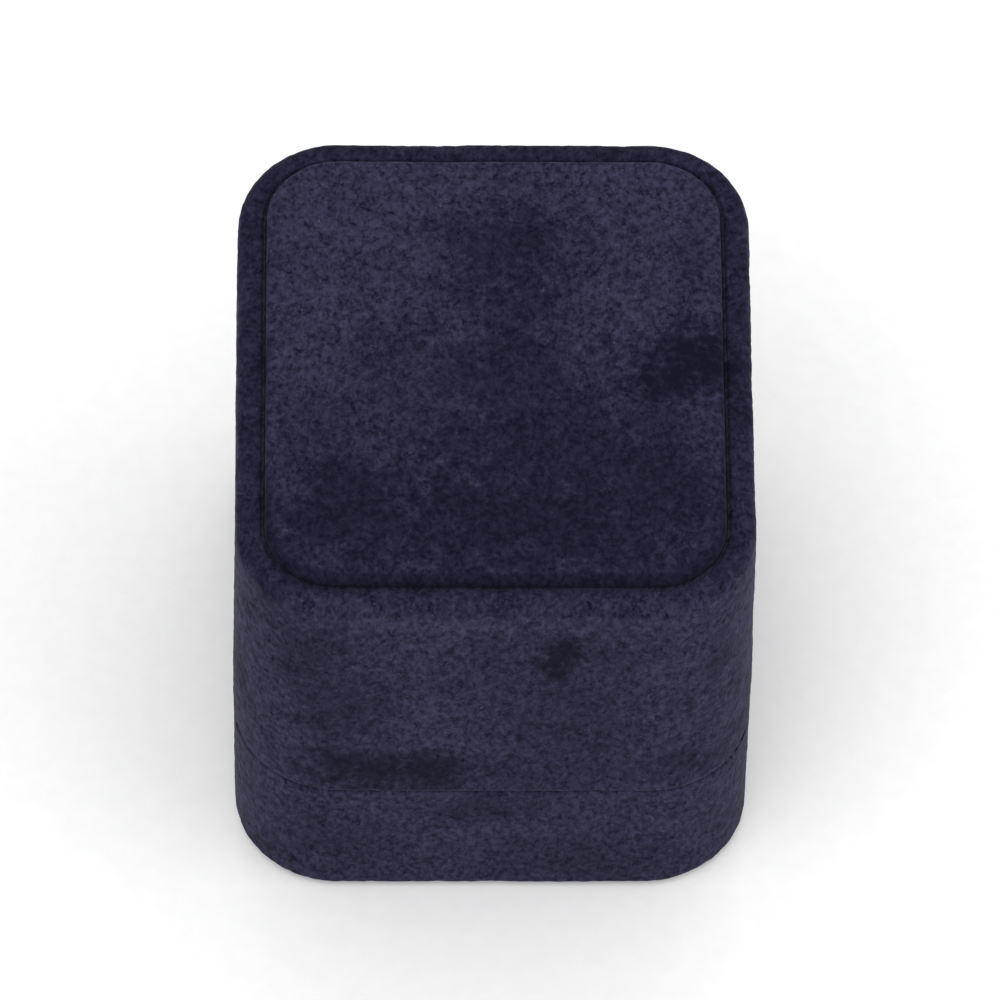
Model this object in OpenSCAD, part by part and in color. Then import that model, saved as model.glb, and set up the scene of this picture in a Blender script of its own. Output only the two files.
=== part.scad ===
// Ring box with a lift-off lid. The base is a moulded tray wrapped in velvet, with a raised collar round
// a split ring cushion. The deep lid drops over the collar and carries a padded panel on its top.
// Millimetres. The origin is the middle of the underside, +Z is up and the front faces -Y.

/* [Outside] */
// Width of the lid at its mouth
box_w = 50; // [42:1:62]
// Depth of the lid at its mouth, front to back
box_d = 54.5; // [44:0.5:68]
// Corner radius of the lid in plan, over the velvet
corner_r = 10; // [8:0.5:14]
// Height of the seam between base and lid
base_h = 17.8; // [14:0.1:24]
// Height of the lid, from the seam to its rim
lid_h = 32.2; // [26:0.1:42]
// How far each wall of the lid leans in from mouth to rim
lid_draft = 0.5; // [0:0.1:1]
// How far the face of the base sits inside the mouth of the lid
base_inset = 0.05; // [0:0.05:0.6]
// Rounding of the lid's upper edge
lid_edge_r = 1.2; // [1:0.1:2.4]
// Rounding of the base's lower edge
base_edge_r = 1; // [0.8:0.1:2.4]
// Rounding of the velvet where base and lid meet
seam_r = 0.45; // [0.2:0.05:0.6]

/* [Walls and fabrics] */
// Thickness of the velvet, backing and pile
velvet_t = 0.7; // [0.5:0.05:0.9]
// Wall and floor of the two moulded shells
shell_t = 1.5; // [1.2:0.1:2]
// Thickness of the lid's satin lining
lining_t = 0.6; // [0.4:0.05:0.8]
// How far the velvet is turned in past an edge
turn_in = 4; // [3:0.5:6]

/* [Underside] */
// Thickness of the velvet patch that the box stands on
patch_t = 0.4; // [0.3:0.1:1]
// How far the patch's edge lies inside the base's face
patch_margin = 3; // [2.5:0.5:5]
// Width of the velvet hem that is glued under the base
hem_w = 6.5; // [5.5:0.5:8]

/* [Collar] */
// Thickness of the collar's board
collar_t = 1.2; // [0.8:0.1:1.6]
// Height of the collar above the seam
collar_h = 8.5; // [6:0.5:12]
// Pressed thickness of the velvet turned down inside the collar
collar_hem_t = 0.5; // [0.3:0.05:0.7]

/* [Ring cushion] */
// Thickness of the card under the cushion
cushion_card_t = 1.2; // [0.8:0.1:2]
// Height of the foam block between the card and the two bars
cushion_block_h = 7.5; // [4:0.5:10]
// How far the bars stand above the collar
cushion_crown = 1.3; // [0.5:0.1:2.5]
// Gap between the two bars, where the ring's band goes
slot_w = 0.8; // [0.4:0.1:2]
// Rounding of the bars along the slot
slot_roll_r = 5; // [3:0.5:7]
// Rounding of the bars at their other edges
bar_edge_r = 2.2; // [1.5:0.1:2.8]

/* [Lid] */
// Width of the velvet rim round the top panel
rim_w = 2.4; // [1.8:0.05:3.5]
// Width of the groove between the rim and the panel
groove_w = 0.35; // [0.3:0.05:0.8]
// Pressed thickness of the rim's velvet where it runs in under the panel
rim_hem_t = 0.3; // [0.2:0.05:0.5]
// How far the rim's velvet runs in under the panel
rim_hem_w = 4; // [2:0.5:6]
// Thickness of the panel's board
panel_board_t = 0.5; // [0.4:0.1:1.2]
// Thickness of the foam on the panel's board
panel_foam_t = 0.3; // [0.3:0.1:1.5]
// Rounding of the panel's edge
panel_edge_r = 0.9; // [0.75:0.05:1.2]
// Card, foam and satin of the pad under the lid's roof
pad_card_t = 0.8; // [0.5:0.1:1.2]
// Thickness of the pad's foam
pad_foam_t = 2.5; // [1.5:0.5:4]
// Thickness of the pad's satin
pad_satin_t = 0.4; // [0.3:0.05:0.6]

/* [Clearances] */
// Gap between lid and base when the lid is down
seam_gap = 0.2; // [0.1:0.05:0.3]
// Gap between the lid's lining and the collar, at the mouth
collar_fit = 0.4; // [0.3:0.05:0.8]
// Gap between the cushion and the collar
cushion_fit = 0.15; // [0.1:0.05:0.4]
// Gap round a card or pad that is dropped into a recess
card_fit = 0.3; // [0.1:0.05:0.5]

/* [Hidden] */

// Steps round a corner in plan, and round an edge's section
corner_steps = 10;
edge_steps = 4;
// Overrun of a cut past the face that it opens
cut = 1;

velvet_colour = [0.16, 0.15, 0.25];
satin_colour = [0.12, 0.12, 0.24];
plastic_colour = [0.10, 0.10, 0.12];
card_colour = [0.62, 0.60, 0.56];
foam_colour = [0.88, 0.87, 0.82];

// Insets are measured inwards from the outline of the lid's mouth.
base_shell_out = base_inset + velvet_t;
base_shell_in = base_shell_out + shell_t;
lid_shell_in = velvet_t + shell_t;
lining_in = lid_shell_in + lining_t;
collar_velvet_out = lining_in + collar_fit;
collar_out = collar_velvet_out + velvet_t;
collar_in = collar_out + collar_t;
collar_hem_in = collar_in + collar_hem_t;
cushion_out = collar_hem_in + cushion_fit;
panel_out = rim_w + groove_w;
panel_core_out = panel_out + velvet_t;
pad_out = lining_in + card_fit;
pad_core_out = pad_out + pad_satin_t;

// Heights above the table
floor_z = patch_t + velvet_t;
floor_top_z = floor_z + shell_t;
base_rim_z = base_h - velvet_t;
collar_z = base_h + collar_h;
bar_z = floor_top_z + cushion_card_t + cushion_block_h;
bar_top_z = collar_z + cushion_crown;
lid_z = base_h + seam_gap;
mouth_z = lid_z + velvet_t;
rim_z = base_h + lid_h;
roof_top_z = rim_z - velvet_t;
roof_z = roof_top_z - shell_t;
panel_z = roof_top_z + rim_hem_t;
board_top_z = panel_z + panel_board_t;
foam_top_z = board_top_z + panel_foam_t;
panel_top_z = foam_top_z + velvet_t;
pad_card_z = roof_z - pad_card_t;
pad_foam_z = pad_card_z - pad_foam_t;
pad_z = pad_foam_z - pad_satin_t;

// Plan of the cushion
cushion_w = box_w - 2 * cushion_out;
cushion_d = box_d - 2 * cushion_out;
cushion_r = corner_r - cushion_out;

// Points of a section's round edge about (inset, z), from angle a0 to angle a1
function edge(inset, z, r, a0, a1) =
    [for (k = [0:edge_steps]) let (a = a0 + (a1 - a0) * k / edge_steps)
        [inset + r * cos(a), z + r * sin(a)]];

// How far the lid's walls have leaned in at height z
function lean(z) = lid_draft * (z - lid_z) / (rim_z - lid_z);

// A section of the lid, leaned in with its walls
function leaned(section) = [for (p = section) [p[0] + lean(p[1]), p[1]]];

// Sweeps a section of [inset, z] points round the box. An open section starts with the outline of a
// face that looks down and ends with one that looks up; a closed one makes a ring. Both run up the
// outer side and down the inner one.
module swept(section, closed = false) {
    stations = [for (c = [0:3]) for (s = [0:corner_steps]) let (a = 90 * (c + s / corner_steps))
        [(c == 0 || c == 3 ? 1 : -1) * (box_w / 2 - corner_r), (c < 2 ? 1 : -1) * (box_d / 2 - corner_r), a]];
    n = len(stations);
    m = len(section);
    points = [for (s = stations) for (p = section)
        [s[0] + (corner_r - p[0]) * cos(s[2]), s[1] + (corner_r - p[0]) * sin(s[2]), p[1]]];
    sides = [for (i = [0:n - 1]) for (j = [0:m - (closed ? 1 : 2)])
        let (i2 = (i + 1) % n, j2 = (j + 1) % m)
        [i * m + j, i * m + j2, i2 * m + j2, i2 * m + j]];
    caps = closed ? [] : [[for (i = [0:n - 1]) i * m], [for (i = [n - 1:-1:0]) i * m + m - 1]];
    polyhedron(points = points, faces = concat(sides, caps), convexity = 6);
}

// A flat plate at one inset
module plate(inset, z0, z1) swept([[inset, z0], [inset, z1]]);

// A plate inside the lid, which leans in with the walls
module lid_plate(inset, z0, z1) swept(leaned([[inset, z0], [inset, z1]]));

module base_shell() {
    r = max(base_edge_r - velvet_t, 0.2);
    color(plastic_colour) swept(concat(
        edge(base_shell_out + r, floor_z + r, r, 270, 180),
        [[base_shell_out, base_rim_z], [base_shell_in, base_rim_z], [base_shell_in, floor_top_z]]));
}

// The wrap covers the wall, with a hem under the floor and one turned down between wall and collar
module base_velvet() {
    r = max(base_edge_r - velvet_t, 0.2);
    color(velvet_colour) swept(closed = true, concat(
        [[base_inset + hem_w, patch_t]],
        edge(base_inset + base_edge_r, patch_t + base_edge_r, base_edge_r, 270, 180),
        edge(base_inset + seam_r, base_h - seam_r, seam_r, 180, 90),
        [[collar_velvet_out, base_h], [collar_velvet_out, base_rim_z - turn_in],
            [base_shell_in, base_rim_z - turn_in], [base_shell_in, base_rim_z],
            [base_shell_out, base_rim_z]],
        edge(base_shell_out + r, floor_z + r, r, 180, 270),
        [[base_inset + hem_w, floor_z]]));
}

module bottom_card() {
    color(card_colour) plate(base_inset + hem_w + card_fit, patch_t, floor_z);
}

module bottom_velvet() {
    color(velvet_colour) plate(base_inset + patch_margin, 0, patch_t);
}

module collar_board() {
    color(card_colour) swept(closed = true,
        [[collar_out, floor_top_z], [collar_out, collar_z - velvet_t],
            [collar_in, collar_z - velvet_t], [collar_in, floor_top_z]]);
}

// The wrap runs from inside the base over the collar's edge and down its inner side
module collar_velvet() {
    core_z = collar_z - velvet_t;
    color(velvet_colour) swept(closed = true, concat(
        [[collar_out, base_rim_z - turn_in], [collar_velvet_out, base_rim_z - turn_in]],
        edge(collar_velvet_out + velvet_t, collar_z - velvet_t, velvet_t, 180, 90),
        edge(collar_hem_in - collar_hem_t, collar_z - collar_hem_t, collar_hem_t, 90, 0),
        [[collar_hem_in, core_z - turn_in], [collar_in, core_z - turn_in], [collar_in, core_z],
            [collar_out, core_z]]));
}

module cushion_card() {
    color(card_colour) plate(cushion_out, floor_top_z, floor_top_z + cushion_card_t);
}

module cushion_block() {
    color(foam_colour) plate(cushion_out, floor_top_z + cushion_card_t, bar_z);
}

// One outer corner of a bar, an upright with a rounded top
module bar_corner(skin, z0) {
    r = cushion_r - skin;
    e = bar_edge_r - skin;
    top = bar_top_z - skin;
    rotate_extrude($fn = 32)
        polygon(concat([[0, z0], [r, z0]],
            [for (k = [0:edge_steps]) let (a = 90 * k / edge_steps)
                [r - e + e * cos(a), top - e + e * sin(a)]],
            [[0, top]]));
}

// The front bar of the cushion, taken in by the thickness of a skin and run down to z0
module front_bar(skin, z0) {
    roll = slot_roll_r - skin;
    length = cushion_w - 2 * skin;
    hull() {
        for (x = [-1, 1])
            translate([x * (cushion_w / 2 - cushion_r), -(cushion_d / 2 - cushion_r), 0])
                bar_corner(skin, z0);
        translate([0, -slot_w / 2 - slot_roll_r, bar_top_z - slot_roll_r]) rotate([0, 90, 0]) {
            cylinder(r = roll, h = length - 2 * bar_edge_r, center = true, $fn = 32);
            cylinder(r = roll - bar_edge_r / 2, h = length - bar_edge_r / 2, center = true, $fn = 32);
        }
        translate([-length / 2, -slot_w / 2 - slot_roll_r, z0])
            cube([length, roll, bar_top_z - slot_roll_r - bar_edge_r - z0]);
    }
}

module front_foam() {
    color(foam_colour) front_bar(velvet_t, bar_z);
}

module front_cover() {
    color(velvet_colour) difference() {
        front_bar(0, bar_z);
        front_bar(velvet_t, bar_z - cut);
    }
}

module front_cushion_foam() front_foam();
module front_cushion_velvet() front_cover();
module rear_cushion_foam() mirror([0, 1, 0]) front_foam();
module rear_cushion_velvet() mirror([0, 1, 0]) front_cover();

module lid_shell() {
    r = max(lid_edge_r - velvet_t, 0.2);
    color(plastic_colour) swept(leaned(concat(
        [[lid_shell_in, roof_z], [lid_shell_in, mouth_z], [velvet_t, mouth_z]],
        edge(velvet_t + r, roof_top_z - r, r, 180, 90))));
}

// The wrap covers the wall and the rim of the roof, with a pressed hem that runs in under the panel, and
// is turned up inside the mouth
module lid_velvet() {
    r = max(lid_edge_r - velvet_t, 0.2);
    hem_in = panel_out + rim_hem_w;
    color(velvet_colour) swept(closed = true, leaned(concat(
        edge(seam_r, lid_z + seam_r, seam_r, 270, 180),
        edge(lid_edge_r, rim_z - lid_edge_r, lid_edge_r, 180, 90),
        [[rim_w, rim_z], [rim_w, panel_z], [hem_in, panel_z], [hem_in, roof_top_z]],
        edge(velvet_t + r, roof_top_z - r, r, 90, 180),
        [[velvet_t, mouth_z], [lid_shell_in, mouth_z], [lid_shell_in, mouth_z + turn_in],
            [lining_in, mouth_z + turn_in]],
        edge(lining_in - seam_r, lid_z + seam_r, seam_r, 0, -90))));
}

module top_panel_board() {
    color(card_colour) lid_plate(panel_core_out, panel_z, board_top_z);
}

module top_panel_foam() {
    color(foam_colour) lid_plate(panel_core_out, board_top_z, foam_top_z);
}

module top_panel_velvet() {
    color(velvet_colour) swept(leaned(concat(
        [[panel_core_out, foam_top_z], [panel_core_out, panel_z], [panel_out, panel_z]],
        edge(panel_out + panel_edge_r, panel_top_z - panel_edge_r, panel_edge_r, 180, 90))));
}

module lid_lining() {
    z0 = mouth_z + turn_in;
    color(satin_colour) swept(closed = true, leaned(
        [[lid_shell_in, z0], [lid_shell_in, roof_z], [lining_in, roof_z], [lining_in, z0]]));
}

module lid_pad_card() {
    color(card_colour) lid_plate(pad_core_out, pad_card_z, roof_z);
}

module lid_pad_foam() {
    color(foam_colour) lid_plate(pad_core_out, pad_foam_z, pad_card_z);
}

// The satin is drawn over the foam and up the sides of the card
module lid_pad_satin() {
    r = pad_satin_t;
    color(satin_colour) swept(leaned(concat(
        edge(pad_out + r, pad_z + r, r, 270, 180),
        [[pad_out, roof_z], [pad_core_out, roof_z], [pad_core_out, pad_foam_z]])));
}

base_shell();
base_velvet();
bottom_card();
bottom_velvet();
collar_board();
collar_velvet();
cushion_card();
cushion_block();
front_cushion_foam();
front_cushion_velvet();
rear_cushion_foam();
rear_cushion_velvet();
lid_shell();
lid_velvet();
top_panel_board();
top_panel_foam();
top_panel_velvet();
lid_lining();
lid_pad_card();
lid_pad_foam();
lid_pad_satin();
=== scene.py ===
"""The looks of a velvet ring box with a lift-off lid, built round its CAD frame.

Lengths in this file are in millimetres, like the CAD's, until a mesh is made. An inset is the distance
inwards from the outline of the lid's mouth, which every swept piece follows.
"""

import math

import bmesh
import bpy
import numpy as np
from mathutils import Matrix, Vector
from mathutils.bvhtree import BVHTree


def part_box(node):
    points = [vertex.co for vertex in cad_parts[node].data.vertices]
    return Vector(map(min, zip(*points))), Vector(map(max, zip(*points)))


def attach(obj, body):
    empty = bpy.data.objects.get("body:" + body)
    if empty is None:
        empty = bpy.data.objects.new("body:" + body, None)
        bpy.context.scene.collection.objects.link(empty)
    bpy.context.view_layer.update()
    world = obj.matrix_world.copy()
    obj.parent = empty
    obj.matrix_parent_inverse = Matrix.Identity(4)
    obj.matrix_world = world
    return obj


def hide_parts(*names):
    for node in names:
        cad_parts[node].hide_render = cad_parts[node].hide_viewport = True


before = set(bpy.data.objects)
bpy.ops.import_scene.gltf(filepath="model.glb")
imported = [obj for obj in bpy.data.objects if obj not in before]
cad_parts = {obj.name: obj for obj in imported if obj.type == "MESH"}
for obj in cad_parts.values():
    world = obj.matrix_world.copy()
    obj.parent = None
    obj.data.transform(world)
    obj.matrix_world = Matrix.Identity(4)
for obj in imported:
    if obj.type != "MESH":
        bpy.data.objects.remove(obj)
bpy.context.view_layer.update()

MM = 0.001


# ---------------------------------------------------------------------------------------------------
# Sizes, read from the frame
# ---------------------------------------------------------------------------------------------------

def low(node):
    return np.array(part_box(node)[0]) / MM


def high(node):
    return np.array(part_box(node)[1]) / MM


HALF_W, HALF_D, RIM_Z = high("lid_velvet")

# Roundings, leans, hems and fits that a node's box doesn't show, as in the CAD
CORNER_R = 10.0
LEAN = 0.5
LID_EDGE_R = 1.2
BASE_EDGE_R = 1.0
SEAM_R = 0.45
GROOVE = 0.35
RIM_HEM_W = 4.0
HEM_W = 6.5
TURN_IN = 4.0
PATCH_MARGIN = 3.0
COLLAR_HEM_T = 0.5
CARD_FIT = 0.3
CUSHION_FIT = 0.15

# Looks only: the pile on the groove's floor, how the lid's turn-up laps over the lining's edge, how far
# a hidden face stays out of the one it meets, and how far a cover stays clear of its filling
GROOVE_PILE = 0.15
LAP_T, LAP_W = 0.08, 0.15
HAIR = 0.02
CLEAR = 0.25


def inset(node):
    """How far a node's widest outline lies inside the outline of the lid's mouth."""
    return HALF_W - high(node)[0]


LID_Z = low("lid_velvet")[2]
MOUTH_Z = low("lid_shell")[2]
ROOF_TOP_Z = high("lid_shell")[2]
ROOF_Z = high("lid_lining")[2]
TURN_UP_Z = low("lid_lining")[2]
PANEL_Z = low("top_panel_velvet")[2]
PANEL_TOP_Z = high("top_panel_velvet")[2]
PANEL_FOAM_Z = high("top_panel_foam")[2]
BASE_TOP_Z = high("base_velvet")[2]
BASE_RIM_Z = high("base_shell")[2]
FLOOR_Z = low("base_shell")[2]
PATCH_TOP_Z = high("bottom_velvet")[2]
COLLAR_TOP_Z = high("collar_velvet")[2]
COLLAR_CORE_Z = high("collar_board")[2]
COLLAR_LOW_Z = low("collar_velvet")[2]
PAD_LOW_Z = low("lid_pad_satin")[2]


def leaned(z):
    """How far the lid's walls have leaned in at height z."""
    return LEAN * (z - LID_Z) / (RIM_Z - LID_Z)


VELVET = inset("lid_shell")
SHELL_OUT = inset("base_shell")
SHELL_IN = inset("lid_lining") - leaned(TURN_UP_Z)
LINING_IN = inset("lid_pad_satin") - leaned(PAD_LOW_Z) - CARD_FIT
PANEL_OUT = inset("top_panel_velvet") - leaned(PANEL_Z)
PANEL_CORE = inset("top_panel_board") - leaned(PANEL_Z)
BASE_OUT = inset("base_velvet")
COLLAR_OUT = inset("collar_velvet")
COLLAR_CORE = inset("collar_board")
COLLAR_IN = inset("cushion_card") - CUSHION_FIT - COLLAR_HEM_T
# The rounding of the panel's outline, and the centres of its corners
PANEL_R = CORNER_R - inset("top_panel_velvet")
PANEL_CENTRES = high("top_panel_velvet")[:2] - PANEL_R


# ---------------------------------------------------------------------------------------------------
# Noise for the relief of the meshes
# ---------------------------------------------------------------------------------------------------

def lattice(cell, seed):
    """A repeatable number from 0 to 1 for each whole-number cell."""
    h = cell[:, 0] * 374761393 + cell[:, 1] * 668265263 + cell[:, 2] * 2147483629 + seed * 144665
    h = ((h ^ (h >> 13)) * 1274126177) & 0x7FFFFFFF
    h = ((h ^ (h >> 16)) * 2246822519) & 0x7FFFFFFF
    return (h ^ (h >> 15)) / 0x7FFFFFFF


def noise(points, size, seed):
    """Smooth noise from -1 to 1 with bumps about size apart."""
    at = points / size
    cell = np.floor(at).astype(np.int64)
    part = at - cell
    part = part * part * (3 - 2 * part)
    total = np.zeros(len(points))
    for corner in np.ndindex(2, 2, 2):
        share = np.prod(np.where(corner, part, 1 - part), axis=1)
        total += share * lattice(cell + corner, seed)
    return 2 * total - 1


# ---------------------------------------------------------------------------------------------------
# Meshes
# ---------------------------------------------------------------------------------------------------

# A map gives hidden runs this share of their length, and a capped piece's map is this much too large
HIDDEN_SHARE = 0.12
MAP_ROOM = 1.02


def added(name, data):
    """A new object in the scene."""
    made = bpy.data.objects.new(name, data)
    bpy.context.scene.collection.objects.link(made)
    return made


def coordinates(mesh):
    """A mesh's points, in metres."""
    co = np.zeros(len(mesh.vertices) * 3)
    mesh.vertices.foreach_get("co", co)
    return co.reshape(-1, 3)


def move_to(mesh, co):
    """Moves a mesh's points to new places, in metres."""
    mesh.vertices.foreach_set("co", co.astype(np.float32).ravel())
    mesh.update()


class Loop:
    """Stations round the box: points of the mouth's outline, and the way out from each."""

    def __init__(self, step):
        quarter = math.pi / 4 * CORNER_R
        points, normals, counts = [], [], []
        for side in range(4):
            run = 2 * ((HALF_W if side % 2 == 0 else HALF_D) - CORNER_R)
            count = round((2 * quarter + run) / step)
            counts.append(count)
            for k in range(count):
                along = (2 * quarter + run) * k / count
                turn = min(along, quarter) + max(along - quarter - run, 0)
                angle = math.pi / 4 + side * math.pi / 2 + turn / CORNER_R
                corner = side if along < quarter + run / 2 else side + 1
                centre = self.corner(corner)
                normal = np.array([math.cos(angle), math.sin(angle)])
                point = centre + CORNER_R * normal
                if quarter < along < quarter + run:
                    start = self.corner(side) + CORNER_R * normal
                    point = start + (along - quarter) * np.array([-normal[1], normal[0]])
                points.append(point)
                normals.append(normal)
        self.points = np.array(points)
        self.normals = np.array(normals)
        self.counts = counts
        self.length = 8 * quarter + 4 * (HALF_W + HALF_D - 2 * CORNER_R)

    @staticmethod
    def corner(k):
        signs = [(1, 1), (-1, 1), (-1, -1), (1, -1)][k % 4]
        return np.array([signs[0] * (HALF_W - CORNER_R), signs[1] * (HALF_D - CORNER_R)])

    def row(self, inset_, z):
        flat = self.points - inset_ * self.normals
        return np.column_stack([flat, np.full(len(flat), z)])


def rounded(corners, closed=True):
    """A section's points. A corner is (inset, z, radius, step, relief): its rounding, the spacing of the
    points on the run that follows, and how much relief that run takes. Returns points and reliefs."""
    points, reliefs = [], []
    n = len(corners)
    for i in range(n):
        here = np.array(corners[i][:2], float)
        radius, step, relief = corners[i][2:]
        before, after = np.array(corners[i - 1][:2], float), np.array(corners[(i + 1) % n][:2], float)
        relief_before = corners[i - 1][4]
        end_of_open = not closed and i in (0, n - 1)
        if radius > 0 and not end_of_open:
            u, v = before - here, after - here
            u, v = u / np.linalg.norm(u), v / np.linalg.norm(v)
            half = math.acos(np.clip(u @ v, -1, 1)) / 2
            centre = here + (u + v) / np.linalg.norm(u + v) * radius / math.sin(half)
            first, last = here + u * radius / math.tan(half), here + v * radius / math.tan(half)
            a, b = first - centre, last - centre
            sweep = math.pi - 2 * half
            count = max(3, math.ceil(radius * sweep / min(step, corners[i - 1][3])))
            for k in range(count + 1):
                t = k / count
                p = (math.sin((1 - t) * sweep) * a + math.sin(t * sweep) * b) / math.sin(sweep)
                points.append(centre + p)
                reliefs.append((1 - t) * relief_before + t * relief)
            leave = last
        else:
            points.append(here)
            reliefs.append(min(relief, relief_before))
            leave = here
        if not closed and i == n - 1:
            break
        next_radius = corners[(i + 1) % n][2]
        arrive = after
        if next_radius > 0 and not (not closed and i + 1 == n - 1):
            far = np.array(corners[(i + 2) % n][:2], float)
            u, v = here - after, far - after
            u, v = u / np.linalg.norm(u), v / np.linalg.norm(v)
            half = math.acos(np.clip(u @ v, -1, 1)) / 2
            arrive = after + u * next_radius / math.tan(half)
        gap = np.linalg.norm(arrive - leave)
        count = max(1, round(gap / step))
        for k in range(1, count):
            points.append(leave + (arrive - leave) * k / count)
            reliefs.append(relief)
    return np.array(points), np.array(reliefs)


def make_mesh(name, points, faces, uvs=None):
    """A smooth-shaded object from points in millimetres, with its faces turned outwards."""
    corners = points[faces]
    volume = np.einsum("ij,ij->i", corners[:, 0], np.cross(corners[:, 1], corners[:, 2])).sum()
    volume += np.einsum("ij,ij->i", corners[:, 0], np.cross(corners[:, 2], corners[:, 3])).sum()
    if volume < 0:
        faces = faces[:, ::-1]
        uvs = None if uvs is None else uvs[:, ::-1]
    mesh = bpy.data.meshes.new(name)
    mesh.vertices.add(len(points))
    mesh.vertices.foreach_set("co", (points * MM).astype(np.float32).ravel())
    mesh.loops.add(faces.size)
    mesh.loops.foreach_set("vertex_index", faces.astype(np.int32).ravel())
    mesh.polygons.add(len(faces))
    mesh.polygons.foreach_set("loop_start", np.arange(0, faces.size, 4, dtype=np.int32))
    mesh.polygons.foreach_set("use_smooth", np.ones(len(faces), bool))
    mesh.update(calc_edges=True)
    if uvs is not None:
        layer = mesh.uv_layers.new(name="OFBake")
        layer.uv.foreach_set("vector", uvs.astype(np.float32).ravel())
    mesh.validate()
    return added(name, mesh)


def strips(loop_count, row_along, aspect):
    """A map for a swept surface, cut across into a few strips that lie one above the other."""
    rows = len(row_along) - 1
    cuts = max(1, round(math.sqrt(aspect)))
    edge = 0.006
    uvs = np.zeros((loop_count, rows, 4, 2))
    for i in range(loop_count):
        strip = i * cuts // loop_count
        first = -(-strip * loop_count // cuts)
        last = -(-(strip + 1) * loop_count // cuts)
        u0, u1 = (i - first) / (last - first), (i + 1 - first) / (last - first)
        v = (strip + edge + (1 - 2 * edge) * row_along) / cuts
        uvs[i, :, 0] = np.column_stack([np.full(rows, u0), v[:-1]])
        uvs[i, :, 1] = np.column_stack([np.full(rows, u0), v[1:]])
        uvs[i, :, 2] = np.column_stack([np.full(rows, u1), v[1:]])
        uvs[i, :, 3] = np.column_stack([np.full(rows, u1), v[:-1]])
    return uvs.reshape(-1, 4, 2)


def swept(name, loop, corners, lean=False):
    """A ring: a closed section swept round the box. Returns the piece and each point's share of relief."""
    section, relief = rounded(corners)
    n, m = len(loop.points), len(section)
    rows = []
    for inset_, z in section:
        extra = leaned(z) if lean else 0.0
        rows.append(loop.row(inset_ + extra, z))
    points = np.stack(rows, axis=1).reshape(-1, 3)
    i, j = np.meshgrid(np.arange(n), np.arange(m), indexing="ij")
    i2, j2 = (i + 1) % n, (j + 1) % m
    faces = np.stack([i * m + j, i * m + j2, i2 * m + j2, i2 * m + j], axis=-1).reshape(-1, 4)
    lengths = np.linalg.norm(np.roll(section, -1, axis=0) - section, axis=1)
    weights = lengths * np.where((relief + np.roll(relief, -1)) > 0, 1.0, HIDDEN_SHARE)
    along = np.concatenate([[0], np.cumsum(weights)]) / weights.sum()
    uvs = strips(n, along, loop.length / weights.sum())
    return make_mesh(name, points, faces, uvs), np.tile(relief, n)


def roughen(piece, share, fields):
    """Moves a mesh's points along their normals by the fields' noise: a field is (height, size, seed)."""
    mesh = piece.data
    co = coordinates(mesh) / MM
    normal = np.zeros(co.size)
    mesh.vertex_normals.foreach_get("vector", normal)
    total = np.zeros(len(co))
    for height, size, seed in fields:
        total += height * noise(co, size, seed)
    co += normal.reshape(-1, 3) * (total * share)[:, None]
    move_to(mesh, co * MM)


def patch(loop, ring):
    """Indices of a grid that fills a ring of stations, and the points inside it. ring is the ring's
    points, and the grid's corners lie at the middle of the box's corners."""
    a, b = loop.counts[0], loop.counts[1]
    n = len(ring)
    south = ring[0:a + 1]
    east = ring[a:a + b + 1]
    north = ring[a + b:2 * a + b + 1][::-1]
    west = np.vstack([ring[2 * a + b:n], ring[:1]])[::-1]
    u = np.linspace(0, 1, a + 1)[None, :, None]
    v = np.linspace(0, 1, b + 1)[:, None, None]
    grid = (1 - v) * south[None] + v * north[None] + (1 - u) * west[:, None] + u * east[:, None]
    grid -= (1 - u) * (1 - v) * south[0] + u * (1 - v) * south[-1]
    grid -= (1 - u) * v * north[0] + u * v * north[-1]
    index = np.full((b + 1, a + 1), -1)
    index[0, :] = np.arange(0, a + 1)
    index[:, a] = np.arange(a, a + b + 1)
    index[b, :] = np.arange(a + b, 2 * a + b + 1)[::-1]
    index[:, 0] = np.concatenate([np.arange(2 * a + b, n), [0]])[::-1]
    inner = grid[1:-1, 1:-1].reshape(-1, 3)
    index[1:-1, 1:-1] = n + np.arange(len(inner)).reshape(b - 1, a - 1)
    quads = np.stack([index[:-1, :-1], index[:-1, 1:], index[1:, 1:], index[1:, :-1]], axis=-1)
    return inner, quads.reshape(-1, 4)


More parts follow.
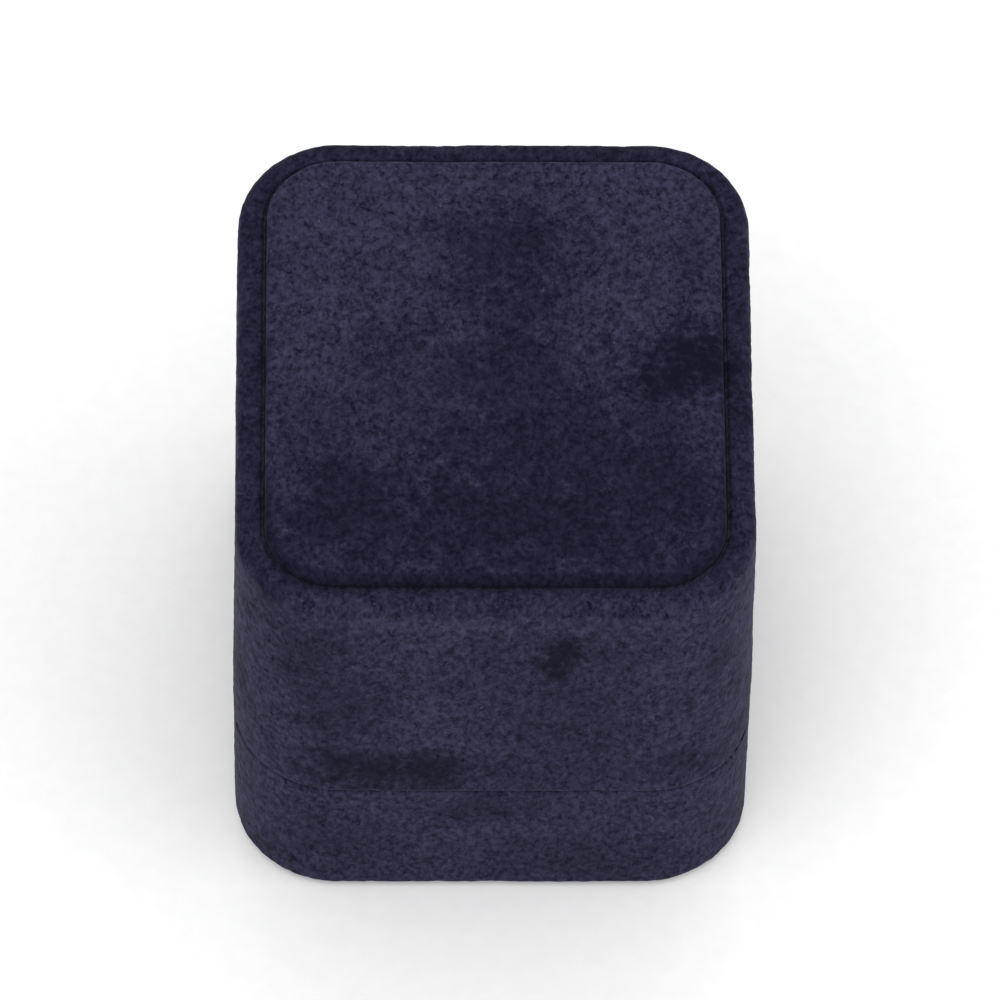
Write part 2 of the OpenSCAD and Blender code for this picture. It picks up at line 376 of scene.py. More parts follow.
def capped(name, loop, corners, lean=False, crown=0.0):
    """A solid: an open section swept round the box, closed with a grid at each end. The last end is the
    face that shows, and crown is how far its middle stands out. Returns the piece and each point's share
    of relief. The map unfolds the sides round that face, and the first end lies small beside it."""
    section, relief = rounded(corners, closed=False)
    n, m = len(loop.points), len(section)
    rows = [loop.row(p[0] + (leaned(p[1]) if lean else 0.0), p[1]) for p in section]
    points = np.vstack(rows)
    share = np.repeat(relief, n)
    lengths = np.concatenate([[0], np.cumsum(np.linalg.norm(np.diff(section, axis=0), axis=1))])
    spread = [rows[-1][:, :2] + (lengths[-1] - lengths[j]) * loop.normals for j in range(m)]
    flat = np.vstack(spread)
    j, i = np.meshgrid(np.arange(m - 1), np.arange(n), indexing="ij")
    i2 = (i + 1) % n
    sides = np.stack([j * n + i, j * n + i2, (j + 1) * n + i2, (j + 1) * n + i], axis=-1).reshape(-1, 4)
    reach = np.abs(flat).max(axis=0)
    size = 2.0 * reach.max() * MAP_ROOM
    faces, uvs = [sides], [flat_map(flat, reach, size, small=False)[sides]]
    for end in (0, m - 1):
        ring = rows[end]
        inner, quads = patch(loop, ring)
        if end and crown:
            near = np.abs(inner[:, :2]) / np.abs(ring[:, :2]).max(axis=0)
            inner[:, 2] += crown * (1 - near[:, 0] ** 4) * (1 - near[:, 1] ** 4)
        index = np.where(quads < n, quads + end * n, quads - n + len(points))
        plan = np.vstack([ring[:, :2], inner[:, :2]])
        place = flat_map(plan, reach, size, small=not end)
        order = quads if end else quads[:, ::-1]
        faces.append(index if end else index[:, ::-1])
        uvs.append(place[order])
        points = np.vstack([points, inner])
        share = np.concatenate([share, np.full(len(inner), relief[end])])
    return make_mesh(name, points, np.vstack(faces), np.vstack(uvs)), share


def flat_map(plan, reach, size, small):
    """The map's place for points seen in plan: amid the unfolded sides, or small beside them."""
    if not small:
        return plan / size + 0.5 * reach / reach.max() / MAP_ROOM
    strip = 1.0 - 2.0 * reach[0] / size
    scale = 0.42 * strip / np.abs(plan).max()
    return plan * scale + [1.0 - 0.5 * strip, 0.5]


def creases(piece, below, depth, count, width):
    """Presses folds into the round corners of a hem that faces down, as gathered cloth has."""
    co = coordinates(piece.data) / MM
    across = np.abs(co[:, 0]) - (HALF_W - CORNER_R)
    along = np.abs(co[:, 1]) - (HALF_D - CORNER_R)
    radius = np.hypot(across, along)
    angle = np.degrees(np.arctan2(along, across))
    step = 90.0 / count
    side = np.sign(co[:, 0]) + 2 * np.sign(co[:, 1])
    wander = 3.0 * np.sin(1.7 * radius + 2.1 * side)
    off = (angle + wander + step / 2) % step - step / 2
    fold = np.exp(-(np.radians(off) * radius / width) ** 2)
    corner = (across > 0) & (along > 0) & (co[:, 2] < below)
    fade = np.clip((CORNER_R - BASE_EDGE_R - radius) / 1.5, 0, 1)
    co[:, 2] += depth * fold * fade * corner
    move_to(piece.data, co * MM)


# ---------------------------------------------------------------------------------------------------
# Padded covers: cloth that swells over its filling
# ---------------------------------------------------------------------------------------------------

BIG = 15.0
CLOTH_STEPS = 20


def bake_modifiers(piece):
    """Puts the piece's modifiers into its mesh, and returns the mesh."""
    mesh = applied(piece)
    piece.modifiers.clear()
    piece.data = mesh
    return mesh


def applied(piece):
    """The piece's mesh with its modifiers applied, as a new mesh."""
    graph = bpy.context.evaluated_depsgraph_get()
    return bpy.data.meshes.new_from_object(piece.evaluated_get(graph))


def hull(node, margin):
    """A closed mesh of a convex CAD node's outer skin, taken in by a margin on every side."""
    co = coordinates(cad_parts[node].data)
    first, last = co.min(axis=0), co.max(axis=0)
    middle, half = (first + last) / 2, (last - first) / 2
    co = middle + (co - middle) * (1 - margin * MM / half)
    work = bmesh.new()
    for point in co * BIG:
        work.verts.new(point)
    bmesh.ops.convex_hull(work, input=work.verts)
    bmesh.ops.delete(work, geom=[v for v in work.verts if not v.link_faces], context="VERTS")
    mesh = bpy.data.meshes.new(node)
    work.to_mesh(mesh)
    work.free()
    return mesh


def push_off(mesh, node, clear):
    """Moves a cover's points out until they are clear of the filling under it."""
    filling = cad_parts[node].data
    tree = BVHTree.FromPolygons([v.co for v in filling.vertices], [p.vertices for p in filling.polygons])
    for vertex in mesh.vertices:
        nearest, normal = tree.find_nearest(vertex.co)[:2]
        away = vertex.co - nearest
        if away.length < 1e-9 or away.dot(normal) < 0:
            vertex.co = nearest + normal * clear * MM
        elif away.length < clear * MM:
            vertex.co = nearest + away.normalized() * clear * MM
    mesh.update()


def swollen(name, node, filling, margin, voxel, reach, thickness, open_top):
    """A cover with the form of a CAD node, less a margin, whose cloth has swelled over its filling by up
    to reach. The form is made BIG times its size, where the cloth behaves as on a full-size cushion. Then
    the side that rests on something is cut away, its rim is brought up to that thing, and the cloth gets
    its thickness inwards."""
    body = added(name, hull(node, margin))
    remesh = body.modifiers.new("remesh", "REMESH")
    remesh.mode = "VOXEL"
    remesh.voxel_size = voxel * MM * BIG
    mesh = bake_modifiers(body)
    start = coordinates(mesh)
    move = np.zeros_like(start)
    cloth = body.modifiers.new("cloth", "CLOTH")
    cloth.settings.quality = 5
    cloth.settings.use_pressure = True
    cloth.settings.uniform_pressure_force = 4.0
    cloth.settings.shrink_min = -0.05
    cloth.settings.effector_weights.gravity = 0.0
    for step in range(1, CLOTH_STEPS + 1):
        bpy.context.scene.frame_set(step)
    move = coordinates(applied(body)) - start
    body.modifiers.clear()
    bpy.context.scene.frame_set(1)
    far = np.linalg.norm(move, axis=1, keepdims=True)
    most = reach * MM * BIG
    co = (start + move * most * np.tanh(far / most) / np.maximum(far, 1e-9)) / BIG
    move_to(mesh, co)
    heights = start[:, 2] / BIG / MM
    end = heights.max() if open_top else heights.min()
    work = bmesh.new()
    work.from_mesh(mesh)
    work.verts.ensure_lookup_table()
    gone = [work.verts[v] for v in np.flatnonzero(np.abs(heights - end) < 0.7 * voxel)]
    bmesh.ops.delete(work, geom=gone, context="VERTS")
    for vertex in work.verts:
        if vertex.is_boundary:
            vertex.co.z = (high(node) if open_top else low(node))[2] * MM
    work.to_mesh(mesh)
    work.free()
    smooth = body.modifiers.new("smooth", "SUBSURF")
    smooth.levels = 1
    smooth.render_levels = 1
    push_off(bake_modifiers(body), filling, CLEAR)
    wall = body.modifiers.new("wall", "SOLIDIFY")
    wall.thickness = thickness * MM
    wall.offset = -1.0
    mesh = bake_modifiers(body)
    mesh.polygons.foreach_set("use_smooth", np.ones(len(mesh.polygons), bool))
    mesh.update()
    return body


# ---------------------------------------------------------------------------------------------------
# Materials
# ---------------------------------------------------------------------------------------------------

class Shader:
    """A node material. Its calls add a node and return the socket that holds the result."""

    def __init__(self, name):
        self.material = bpy.data.materials.new(name)
        self.material.use_nodes = True
        self.tree = self.material.node_tree
        self.tree.nodes.clear()

    def node(self, kind, inputs, **settings):
        made = self.tree.nodes.new(kind)
        for key, value in settings.items():
            setattr(made, key, value)
        for key, value in inputs.items():
            if isinstance(value, bpy.types.NodeSocket):
                self.tree.links.new(value, made.inputs[key])
            else:
                made.inputs[key].default_value = value
        return made

    def place(self):
        """The point's place on the object at rest, in millimetres."""
        place = self.node("ShaderNodeTexCoord", {}).outputs["Object"]
        return self.vector("SCALE", place, scale=1 / MM)

    def vector(self, operation, a, b=(0, 0, 0), scale=1.0):
        made = self.node("ShaderNodeVectorMath", {0: a, 1: b, 3: scale}, operation=operation)
        return made.outputs["Value" if operation in ("LENGTH", "DOT_PRODUCT") else "Vector"]

    def math(self, operation, a, b=0.0, clamp=False):
        return self.node("ShaderNodeMath", {0: a, 1: b}, operation=operation, use_clamp=clamp).outputs[0]

    def band(self, value, start, end, low_=0.0, high_=1.0):
        inputs = {"Value": value, "From Min": start, "From Max": end, "To Min": low_, "To Max": high_}
        made = self.node("ShaderNodeMapRange", inputs, interpolation_type="SMOOTHSTEP")
        return made.outputs["Result"]

    def noise(self, at, size, detail=2.0, roughness=0.5, output="Fac"):
        inputs = {"Vector": at, "Scale": 1 / size, "Detail": detail, "Roughness": roughness}
        return self.node("ShaderNodeTexNoise", inputs).outputs[output]

    def mix(self, share, a, b):
        made = self.node("ShaderNodeMix", {"Factor": share}, data_type="RGBA")
        for socket, value in ((made.inputs[6], a), (made.inputs[7], b)):
            if isinstance(value, bpy.types.NodeSocket):
                self.tree.links.new(value, socket)
            else:
                socket.default_value = (*value, 1)
        return made.outputs[2]

    def bump(self, height, depth, strength=1.0, normal=None):
        inputs = {"Height": height, "Distance": depth * MM, "Strength": strength}
        if normal is not None:
            inputs["Normal"] = normal
        return self.node("ShaderNodeBump", inputs).outputs["Normal"]

    def finish(self, **inputs):
        named = {key.replace("_", " "): value for key, value in inputs.items()}
        surface = self.node("ShaderNodeBsdfPrincipled", named).outputs[0]
        self.node("ShaderNodeOutputMaterial", {"Surface": surface})
        return self.material


# Where the pile is pressed the other way and looks darker: centre, half sizes and strength
LID_MARKS = [
    ((1.0, 13.8, 51.0), (7.0, 5.4, 5.0), 0.88),
    ((2.0, 9.0, 51.0), (9.0, 12.0, 5.0), 0.42),
    ((2.0, 7.5, 51.0), (6.0, 5.5, 5.0), 0.80),
    ((1.5, -1.0, 51.0), (9.5, 8.0, 5.0), 0.82),
    ((4.5, -9.0, 51.0), (16.0, 8.0, 5.0), 0.86),
    ((14.5, -7.0, 51.0), (8.0, 7.5, 5.0), 0.72),
    ((3.0, -17.5, 51.0), (21.0, 9.0, 5.0), 1.00),
    ((14.0, -14.5, 51.0), (9.5, 9.5, 4.0), 0.94),
    ((-13.5, -16.5, 51.0), (10.0, 7.5, 4.0), 0.98),
    ((-17.5, -8.0, 51.0), (5.5, 6.0, 4.0), 0.48),
    ((-8.0, -3.0, 51.0), (7.0, 10.0, 4.0), 0.52),
    ((19.0, 0.0, 51.0), (6.0, 5.4, 4.0), 1.25),
    ((19.0, 12.5, 51.0), (2.6, 5.5, 4.0), 0.50),
    ((22.6, -4.0, 50.0), (3.0, 6.0, 3.0), 0.88),
    ((-25.0, 13.0, 50.0), (3.0, 4.5, 3.0), 1.00),
    ((-23.0, 0.0, 50.0), (2.0, 6.0, 3.0), 0.80),
    ((-20.6, -22.6, 50.0), (3.2, 3.4, 2.6), 0.80),
    ((6.2, -27.3, 41.8), (2.1, 3.0, 4.4), 1.25),
    ((9.8, -27.3, 42.0), (4.0, 3.0, 3.4), 0.50),
    ((1.0, -27.3, 41.0), (4.0, 3.0, 5.0), 0.38),
    ((7.0, -27.3, 31.0), (6.5, 3.0, 9.5), 0.42),
    ((-18.5, -27.3, 42.0), (5.5, 4.5, 8.0), 0.58),
    ((-14.6, -27.3, 33.0), (5.5, 4.5, 7.0), 0.60),
    ((-10.0, -27.3, 22.0), (9.6, 3.0, 4.0), 1.08),
    ((4.0, -27.3, 22.0), (9.0, 3.0, 3.2), 0.45),
    ((17.0, -27.3, 22.8), (3.0, 3.0, 2.8), 0.80),
]
BASE_MARKS = [
    ((-1.0, -27.3, 14.4), (6.0, 3.0, 2.4), 0.60),
    ((10.0, -27.3, 5.0), (9.0, 3.0, 4.0), 0.40),
    ((-15.0, -27.3, 8.0), (6.0, 3.0, 5.0), 0.40),
]


def velvet(name, marks=(), edge=None):
    """Short dense pile. It is darker where it is pressed away, at the marks and in soft clouds, and it
    is broken into small tufts with a few paler fibres. On the edge of the lid, "rim", it is drawn taut
    over the roof and has painted shade along the panel's groove, both less so at the front, and there
    a painted highlight lightens it below the edge. On the edge of the "panel" painted shade darkens it
    where it turns down into the groove in front. A "wall" or "rim" has the line of the butt joint at
    the back."""
    light, dark, pale = (0.0397, 0.0380, 0.0743), (0.0055, 0.0052, 0.0145), (0.075, 0.073, 0.110)
    s = Shader(name)
    at = s.place()
    axes = s.node("ShaderNodeSeparateXYZ", {0: at}).outputs
    wander = s.vector("SUBTRACT", s.noise(at, 5.0, 3.0, 0.6, "Color"), (0.5, 0.5, 0.5))
    loose = s.vector("ADD", at, s.vector("SCALE", wander, scale=9.0))
    ragged = s.math("MULTIPLY", s.math("SUBTRACT", s.noise(at, 1.1, 2.5, 0.6), 0.5), 2.1)
    pressed = s.band(s.noise(at, 9.0, 3.0, 0.6), 0.50, 0.72, 0.0, 0.30)
    if edge != "panel":
        pressed = s.math("MULTIPLY", pressed, s.band(axes["Y"], -HALF_D + 1.0, -HALF_D + 6.0, 1.0, 2.4))
    for centre, radii, strength in marks:
        away = s.vector("LENGTH", s.vector("DIVIDE", s.vector("SUBTRACT", loose, centre), radii))
        away = s.math("ADD", away, ragged)
        pressed = s.math("MAXIMUM", pressed, s.band(away, 1.55, 0.25, 0.0, strength))
    lit = 0.5
    if edge in ("rim", "wall"):
        joint = s.band(s.math("ABSOLUTE", axes["X"]), 0.60, 0.15, 0.0, 0.95)
        joint = s.math("MULTIPLY", joint, s.band(axes["Y"], HALF_D - 3.0, HALF_D - 2.0))
        pressed = s.math("MAXIMUM", pressed, joint)
    if edge in ("rim", "panel"):
        patchy = s.band(s.noise(at, 2.5), 0.3, 0.7, 0.50, 0.85)
        beyond = s.vector("SUBTRACT", s.vector("ABSOLUTE", at), (*PANEL_CENTRES, 1000.0))
        off = s.math("SUBTRACT", s.vector("LENGTH", s.vector("MAXIMUM", beyond, (0, 0, 0))), PANEL_R)
    if edge == "panel":
        # Painted shade: the panel's edge is darkened in front, where it turns down into the groove
        front_groove_shade = s.math("MULTIPLY", s.band(off, -1.5, -0.5), s.band(axes["Y"], -8.0, -17.0))
        pressed = s.math("MAXIMUM", pressed, front_groove_shade)
    if edge == "rim":
        rim_press_and_groove_shade = s.math("MULTIPLY", s.band(axes["Z"], RIM_Z - 1.0, RIM_Z - 0.1), patchy)
        # Painted shade on the rim along the groove, such as the groove would cast
        rim_press_and_groove_shade = s.math("MAXIMUM", rim_press_and_groove_shade, s.band(off, 1.4, 0.5, 0.0, 0.55))
        rim_press_and_groove_shade = s.math("MULTIPLY", rim_press_and_groove_shade, s.band(axes["Y"], -HALF_D + 0.5, -HALF_D + 4.5, 0.35, 1.0))
        pressed = s.math("MAXIMUM", pressed, rim_press_and_groove_shade)
        # Painted highlight: a lighter band on the front of the lid, just below the rim's edge
        painted_highlight = s.band(axes["Z"], RIM_Z - 4.5, RIM_Z - 2.6)
        painted_highlight = s.math("MULTIPLY", painted_highlight, s.band(axes["Z"], RIM_Z - 1.0, RIM_Z - 1.6))
        painted_highlight = s.math("MULTIPLY", painted_highlight, s.band(axes["Y"], -HALF_D + 2.5, -HALF_D + 1.0, 0.0, 0.12))
        lit = s.math("ADD", painted_highlight, 0.5)
    nap = s.vector("MULTIPLY", at, (1.0, 0.82, 0.66))
    bend = s.vector("SUBTRACT", s.noise(nap, 0.9, 1.0, 0.5, "Color"), (0.5, 0.5, 0.5))
    strokes = s.vector("ADD", nap, s.vector("SCALE", bend, scale=0.7))
    tufts = s.noise(strokes, 0.56, 1.8, 0.60)
    fine = s.noise(nap, 0.26, 1.0, 0.5)
    clumps = s.noise(at, 1.8, 1.0, 0.5)
    # pressed also carries the painted groove shade of the panel and rim edges, which darkens the colour
    # here
    lift = s.math("SUBTRACT", lit, s.math("MULTIPLY", pressed, 0.40))
    contrast = s.math("SUBTRACT", 1.0, s.math("MULTIPLY", pressed, 0.66))
    grain = s.math("ADD", s.math("MULTIPLY", s.math("SUBTRACT", tufts, 0.5), 1.9),
                   s.math("MULTIPLY", s.math("SUBTRACT", fine, 0.5), 0.75))
    grain = s.math("ADD", grain, s.math("MULTIPLY", s.math("SUBTRACT", clumps, 0.5), 0.45))
    lift = s.math("ADD", lift, s.math("MULTIPLY", grain, contrast), clamp=True)
    colour = s.mix(lift, dark, light)
    flecks = s.band(s.noise(strokes, 0.36, 1.5, 0.6), 0.66, 0.78, 0.0, 0.60)
    colour = s.mix(s.math("MULTIPLY", flecks, s.math("SUBTRACT", 1.0, pressed, clamp=True)), colour, pale)
    return s.finish(
        Base_Color=colour,
        Roughness=0.95,
        Specular_IOR_Level=0.05,
        Sheen_Weight=0.06,
        Sheen_Roughness=0.35,
        Sheen_Tint=(0.75, 0.75, 0.95, 1),
        Normal=s.bump(tufts, 0.10, 0.7),
    )


def satin(name, colour=(0.026, 0.027, 0.072)):
    """Woven satin: fine threads along one way, with slubs and a soft shine."""
    s = Shader(name)
    at = s.place()
    threads = s.noise(s.vector("MULTIPLY", at, (9.0, 9.0, 0.6)), 1.0, 2.0, 0.5)
    slubs = s.noise(s.vector("MULTIPLY", at, (1.6, 1.6, 0.12)), 1.0, 2.0, 0.5)
    soft = s.noise(at, 6.0, 2.0, 0.5)
    tone = s.math("ADD", s.band(threads, 0.3, 0.7, 0.0, 0.5), s.band(slubs, 0.35, 0.65, 0.0, 0.5))
    shade = s.mix(tone, tuple(0.62 * c for c in colour), tuple(1.5 * c for c in colour))
    shade = s.mix(s.band(soft, 0.3, 0.7, 0.0, 0.3), shade, tuple(0.5 * c for c in colour))
    return s.finish(
        Base_Color=shade,
        Roughness=s.band(slubs, 0.3, 0.7, 0.30, 0.42),
        Specular_IOR_Level=0.5,
        Anisotropic=0.5,
        Sheen_Weight=0.12,
        Sheen_Roughness=0.3,
        Sheen_Tint=(0.6, 0.62, 1.0, 1),
        Normal=s.bump(s.math("ADD", threads, slubs), 0.05, 0.5),
    )


def moulded_plastic(name):
    """Matt moulded plastic with a spark-eroded grain and faint flow marks."""
    s = Shader(name)
    at = s.place()
    grain = s.noise(at, 0.35, 3.0, 0.6)
    flow = s.noise(s.vector("MULTIPLY", at, (0.1, 0.1, 0.5)), 1.0, 2.0, 0.5)
    colour = s.mix(s.band(flow, 0.35, 0.65), (0.012, 0.012, 0.015), (0.020, 0.020, 0.026))
    return s.finish(
        Base_Color=colour,
        Roughness=s.band(grain, 0.3, 0.7, 0.5, 0.66),
        Normal=s.bump(grain, 0.03, 0.6),
    )


def greyboard(name):
    """Grey paperboard: pressed fibres with specks of other stock."""
    s = Shader(name)
    at = s.place()
    fibres = s.noise(s.vector("MULTIPLY", at, (2.5, 0.7, 1.5)), 1.0, 4.0, 0.65)
    specks = s.band(s.noise(at, 0.5, 2.0, 0.6), 0.64, 0.72)
    colour = s.mix(s.band(fibres, 0.3, 0.7), (0.23, 0.21, 0.19), (0.36, 0.34, 0.31))
    colour = s.mix(specks, colour, (0.10, 0.09, 0.085))
    return s.finish(Base_Color=colour, Roughness=0.9, Normal=s.bump(fibres, 0.08, 0.6))


def foam(name):
    """Cream polyurethane foam with open cells of about half a millimetre."""
    s = Shader(name)
    at = s.place()
    cells = s.node("ShaderNodeTexVoronoi", {"Vector": at, "Scale": 1.9, "Randomness": 1.0})
    # Painted shade: each open cell is darker where it is deep, as shade falls in the pores
    depth = s.band(cells.outputs["Distance"], 0.12, 0.5)
    aged = s.noise(at, 9.0, 2.0, 0.5)
    colour = s.mix(depth, (0.42, 0.37, 0.25), (0.78, 0.74, 0.60))
    colour = s.mix(s.band(aged, 0.4, 0.7, 0.0, 0.3), colour, (0.70, 0.60, 0.38))
    return s.finish(Base_Color=colour, Roughness=0.92, Normal=s.bump(depth, 0.25, 0.9))


# ---------------------------------------------------------------------------------------------------
# Camera, lights and floor
# ---------------------------------------------------------------------------------------------------

def look():
    """The camera: seen from high in front and a little from the left, through a long lens."""
    azimuth, elevation, roll = math.radians(-1.42), math.radians(57.26), math.radians(-1.27)
    distance, aside, above = 1000.0, 0.80, 1.38
    middle = Vector((0, 0, RIM_Z / 2))
    back = Vector((math.sin(azimuth) * math.cos(elevation), -math.cos(azimuth) * math.cos(elevation),
                   math.sin(elevation)))
    right = Vector((math.cos(azimuth), math.sin(azimuth), 0))
    up = back.cross(right)
    across = math.cos(roll) * right - math.sin(roll) * up
    upward = math.sin(roll) * right + math.cos(roll) * up
    camera = added("camera", bpy.data.cameras.new("camera"))
    camera.data.sensor_width = 36.0
    camera.data.lens = 371.0
    turn = Matrix((across, upward, back)).transposed().to_4x4()
    spot = (middle + distance * back + aside * across + above * upward) * MM
    camera.matrix_world = Matrix.Translation(spot) @ turn
    camera.data.clip_end = 20.0
    bpy.context.scene.camera = camera


def lamp(name, place, aim, size, power):
    """A round soft lamp. Places are in metres."""
    light = bpy.data.lights.new(name, "AREA")
    light.shape = "DISK"
    light.size = size
    light.energy = power
    stand = added(name, light)
    stand.location = place
    stand.rotation_euler = (Vector(aim) - Vector(place)).to_track_quat("-Z", "Y").to_euler()


def studio():
    """Soft light from above, in front and behind, and a pale floor."""
    world = bpy.data.worlds.new("studio")
    world.use_nodes = True
    world.node_tree.nodes["Background"].inputs["Color"].default_value = (1, 1, 1, 1)
    world.node_tree.nodes["Background"].inputs["Strength"].default_value = 0.92
    bpy.context.scene.world = world
    lamp("key", (-0.35, -0.55, 0.95), (0, 0, 0.03), 1.10, 4.5)
    lamp("fill", (0.75, -0.25, 0.60), (0, 0, 0.03), 1.00, 2.0)
    lamp("back", (0.10, 0.75, 0.70), (0, 0, 0.03), 1.00, 1.5)
    s = Shader("studio_floor")
    at = s.place()
    paper = s.noise(at, 2.0, 3.0, 0.6)
    white = s.mix(s.band(paper, 0.3, 0.7), (0.88, 0.88, 0.88), (0.90, 0.90, 0.90))
    material = s.finish(Base_Color=white, Roughness=0.9, Specular_IOR_Level=0.1)
    corners = np.array([[-3000.0, -3000, 0], [3000, -3000, 0], [3000, 3000, 0], [-3000, 3000, 0]])
    floor = added("floor", bpy.data.meshes.new("floor"))
    floor.data.from_pydata((corners * MM).tolist(), [], [(0, 1, 2, 3)])
    floor.data.materials.append(material)
    bpy.context.scene.view_settings.view_transform = "Standard"


# ---------------------------------------------------------------------------------------------------
# The pieces
# ---------------------------------------------------------------------------------------------------

# Relief of the cloths: the height, size and seed of each field
PILE = [(0.040, 0.90, 11), (0.036, 0.48, 12)]
SLACK = [(0.060, 9.0, 21), (0.035, 4.0, 22)]
WEAVE = [(0.030, 5.0, 31), (0.020, 2.0, 32)]
# The wraps are closed by a butt joint in the middle of the back
JOINT_DEPTH, JOINT_WIDTH = 0.34, 0.30


def dress(piece, body, slot, material, *nodes):
    """Gives a piece its material, and puts it on its body in place of CAD nodes."""
    piece.data.materials.append(material)
    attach(piece, body)
    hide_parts(*nodes)
    return piece


def butt_joint(piece):
    """Sinks the line where the two ends of a wrap meet."""
    co = coordinates(piece.data)
    near = np.exp(-(co[:, 0] / MM / JOINT_WIDTH) ** 2) * (co[:, 1] > (HALF_D - 2.0) * MM)
    near *= np.clip((RIM_Z - 1.0) - co[:, 2] / MM, 0, 1)
    co[:, 1] -= near * JOINT_DEPTH * MM
    move_to(piece.data, co)


def lid_wrap(loop, material):
    """The velvet over the lid's walls and rim, run in under the panel and turned up inside the mouth."""
    rim = PANEL_OUT - GROOVE
    hem = PANEL_OUT + RIM_HEM_W
    piece, share = swept("lid_wrap", loop, [
        (0.0, LID_Z, SEAM_R, 0.30, 1.0),
        (0.0, RIM_Z, LID_EDGE_R, 0.26, 1.0),
        (rim, RIM_Z, 0.34, 0.20, 1.4),
        (rim, PANEL_Z + GROOVE_PILE, 0.0, 0.2, 0.3),
        (PANEL_OUT - HAIR, PANEL_Z + GROOVE_PILE, 0.0, 0.2, 0.0),
        (PANEL_OUT - HAIR, PANEL_Z, 0.0, 1.0, 0.0),
        (hem, PANEL_Z, 0.0, 0.5, 0.0),
        (hem, ROOF_TOP_Z, 0.0, 6.0, 0.0),
        (VELVET, ROOF_TOP_Z, LID_EDGE_R - VELVET, 8.0, 0.0),
        (VELVET, MOUTH_Z, 0.0, 1.5, 0.0),
        (SHELL_IN, MOUTH_Z, 0.0, 1.0, 0.0),
        (SHELL_IN, TURN_UP_Z, 0.0, 0.6, 0.0),
        (LINING_IN, TURN_UP_Z, 0.0, 0.3, 0.0),
        (LINING_IN, TURN_UP_Z + LAP_W, 0.0, 0.3, 0.0),
        (LINING_IN + LAP_T, TURN_UP_Z + LAP_W, 0.04, 0.4, 0.4),
        (LINING_IN + LAP_T, LID_Z, SEAM_R, 0.30, 0.8),
    ], lean=True)
    roughen(piece, share, PILE + SLACK)
    butt_joint(piece)
    return dress(piece, "lid", "velvet", material, "lid_velvet")


def top_panel(loop, material):
    """The padded velvet panel on the lid's roof."""
    piece, share = capped("top_panel", loop, [
        (PANEL_CORE, PANEL_FOAM_Z, 0.0, 1.0, 0.0),
        (PANEL_CORE, PANEL_Z, 0.0, 1.0, 0.0),
        (PANEL_OUT, PANEL_Z, 0.12, 0.25, 0.3),
        (PANEL_OUT, PANEL_TOP_Z - 0.10, 0.95, 0.22, 1.8),
        (PANEL_OUT + 1.6, PANEL_TOP_Z, 0.0, 0.3, 1.0),
    ], lean=True, crown=0.15)
    roughen(piece, share, PILE + SLACK)
    return dress(piece, "lid", "velvet", material, "top_panel_velvet")


def base_wrap(loop, material):
    """The velvet over the base's walls, with a hem under the floor and one turned in at the top."""
    hem = BASE_OUT + HEM_W
    inner = COLLAR_OUT - HAIR
    shell_in = SHELL_IN + BASE_OUT
    piece, share = swept("base_wrap", loop, [
        (hem, PATCH_TOP_Z, 0.0, 0.5, 0.6),
        (BASE_OUT, PATCH_TOP_Z, BASE_EDGE_R, 0.30, 1.0),
        (BASE_OUT, BASE_TOP_Z, SEAM_R, 0.30, 0.8),
        (inner, BASE_TOP_Z, 0.30, 0.5, 0.0),
        (inner, COLLAR_LOW_Z, 0.0, 0.6, 0.0),
        (shell_in, COLLAR_LOW_Z, 0.0, 1.0, 0.0),
        (shell_in, BASE_RIM_Z, 0.0, 1.0, 0.0),
        (SHELL_OUT, BASE_RIM_Z, 0.0, 4.0, 0.0),
        (SHELL_OUT, FLOOR_Z, BASE_EDGE_R - VELVET, 2.0, 0.0),
        (hem, FLOOR_Z, 0.0, 0.5, 0.0),
    ])
    roughen(piece, share, PILE + SLACK)
    butt_joint(piece)
    creases(piece, below=PATCH_TOP_Z + 0.25, depth=0.30, count=6, width=0.30)
    return dress(piece, "base", "velvet", material, "base_velvet")


def bottom_patch(loop, material):
    """The velvet patch under the base. Its pile is pressed by the table, and its cut edge is soft."""
    edge = BASE_OUT + PATCH_MARGIN
    piece, share = capped("bottom_patch", loop, [
        (edge + 0.2, PATCH_TOP_Z, 0.0, 1.0, 0.0),
        (edge, PATCH_TOP_Z, 0.0, 0.15, 0.0),
        (edge, 0.03, 0.15, 0.25, 0.5),
        (edge + 1.0, 0.03, 0.0, 0.3, 0.5),
    ])
    roughen(piece, share, [(0.030, 0.90, 41), (0.022, 0.50, 42)])
    co = coordinates(piece.data)
    co[:, 2] = np.maximum(co[:, 2], 0.0)
    ragged = noise(co / MM, 0.8, 43) * 0.07 + noise(co / MM, 6.0, 44) * 0.12
    reach = np.maximum(np.abs(co[:, 0]) / co[:, 0].max(), np.abs(co[:, 1]) / co[:, 1].max()) ** 8
    co[:, :2] *= 1 + (ragged * reach / HALF_W)[:, None]
    move_to(piece.data, co)
    return dress(piece, "base", "velvet", material, "bottom_velvet")


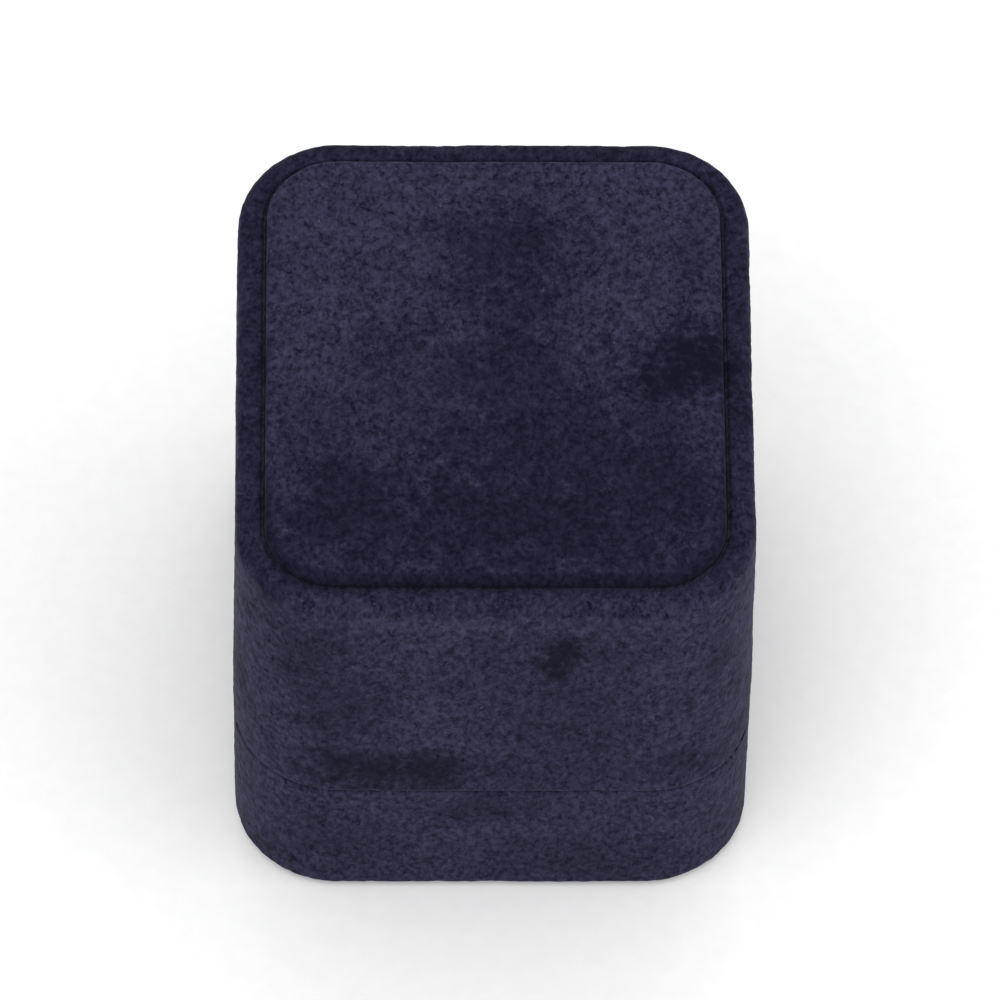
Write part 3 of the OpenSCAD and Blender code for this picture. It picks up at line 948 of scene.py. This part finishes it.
def collar_wrap(loop, material):
    """The velvet drawn over the collar's edge."""
    low_in = COLLAR_CORE_Z - TURN_IN
    piece, share = swept("collar_wrap", loop, [
        (COLLAR_OUT, COLLAR_LOW_Z, 0.0, 0.30, 0.8),
        (COLLAR_OUT, COLLAR_TOP_Z, 0.7, 0.25, 0.8),
        (COLLAR_IN + COLLAR_HEM_T, COLLAR_TOP_Z, 0.5, 0.30, 0.6),
        (COLLAR_IN + COLLAR_HEM_T, low_in, 0.0, 0.5, 0.0),
        (COLLAR_IN, low_in, 0.0, 1.0, 0.0),
        (COLLAR_IN, COLLAR_CORE_Z, 0.0, 1.0, 0.0),
        (COLLAR_CORE, COLLAR_CORE_Z, 0.0, 2.0, 0.0),
        (COLLAR_CORE, COLLAR_LOW_Z, 0.0, 1.0, 0.0),
    ])
    roughen(piece, share, PILE + [(0.03, 6.0, 51)])
    return dress(piece, "base", "velvet", material, "collar_velvet")


def cushion_bar(name, material, node, filling, seed):
    """One bar of the ring cushion: velvet drawn over foam and rolled down into the slot."""
    piece = swollen(name, node, filling, margin=0.26, voxel=0.55, reach=0.26, thickness=0.5, open_top=False)
    fields = [(height, size, seed + n) for n, (height, size, _) in enumerate(PILE)]
    roughen(piece, np.ones(len(piece.data.vertices)), fields)
    return dress(piece, "base", "velvet", material, node)


def lining(loop, material):
    """The satin lining of the lid's walls, with soft puckers where it was glued."""
    piece, share = swept("lining", loop, [
        (LINING_IN, TURN_UP_Z, 0.12, 0.35, 0.3),
        (LINING_IN, ROOF_Z, 0.0, 0.6, 0.0),
        (SHELL_IN, ROOF_Z, 0.0, 2.0, 0.0),
        (SHELL_IN, TURN_UP_Z, 0.0, 0.6, 0.0),
    ], lean=True)
    roughen(piece, share, [(0.05, 7.0, 61), (0.035, 2.6, 62)])
    return dress(piece, "lid", "satin", material, "lid_lining")


def lid_pad(material):
    """The padded satin card under the lid's roof."""
    piece = swollen("lid_pad", "lid_pad_satin", "lid_pad_foam", margin=0.12, voxel=0.60, reach=0.25,
                    thickness=0.22, open_top=True)
    roughen(piece, np.ones(len(piece.data.vertices)), WEAVE)
    return dress(piece, "lid", "satin", material, "lid_pad_satin")


look()
studio()

fine = Loop(0.30)
coarse = Loop(0.55)
lid_pile = velvet("lid_velvet_pile", marks=LID_MARKS, edge="panel")
wrap_pile = velvet("lid_wrap_pile", marks=LID_MARKS, edge="rim")
base_pile = velvet("base_velvet_pile", marks=BASE_MARKS, edge="wall")
plain_pile = velvet("velvet_pile")
shine = satin("satin")

lid_wrap(fine, wrap_pile)
top_panel(fine, lid_pile)
base_wrap(fine, base_pile)
bottom_patch(coarse, plain_pile)
collar_wrap(Loop(0.40), plain_pile)
cushion_bar("front_cushion", plain_pile, "front_cushion_velvet", "front_cushion_foam", 71)
cushion_bar("rear_cushion", plain_pile, "rear_cushion_velvet", "rear_cushion_foam", 81)
lining(Loop(0.45), shine)
lid_pad(shine)

board, cream, black = greyboard("greyboard"), foam("foam"), moulded_plastic("moulded_plastic")
CARRIED = {
    black: ("base_shell", "lid_shell"),
    board: ("bottom_card", "collar_board", "cushion_card", "top_panel_board", "lid_pad_card"),
    cream: ("cushion_block", "front_cushion_foam", "rear_cushion_foam", "top_panel_foam", "lid_pad_foam"),
}
for material, nodes in CARRIED.items():
    for node in nodes:
        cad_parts[node].data.materials.clear()
        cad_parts[node].data.materials.append(material)
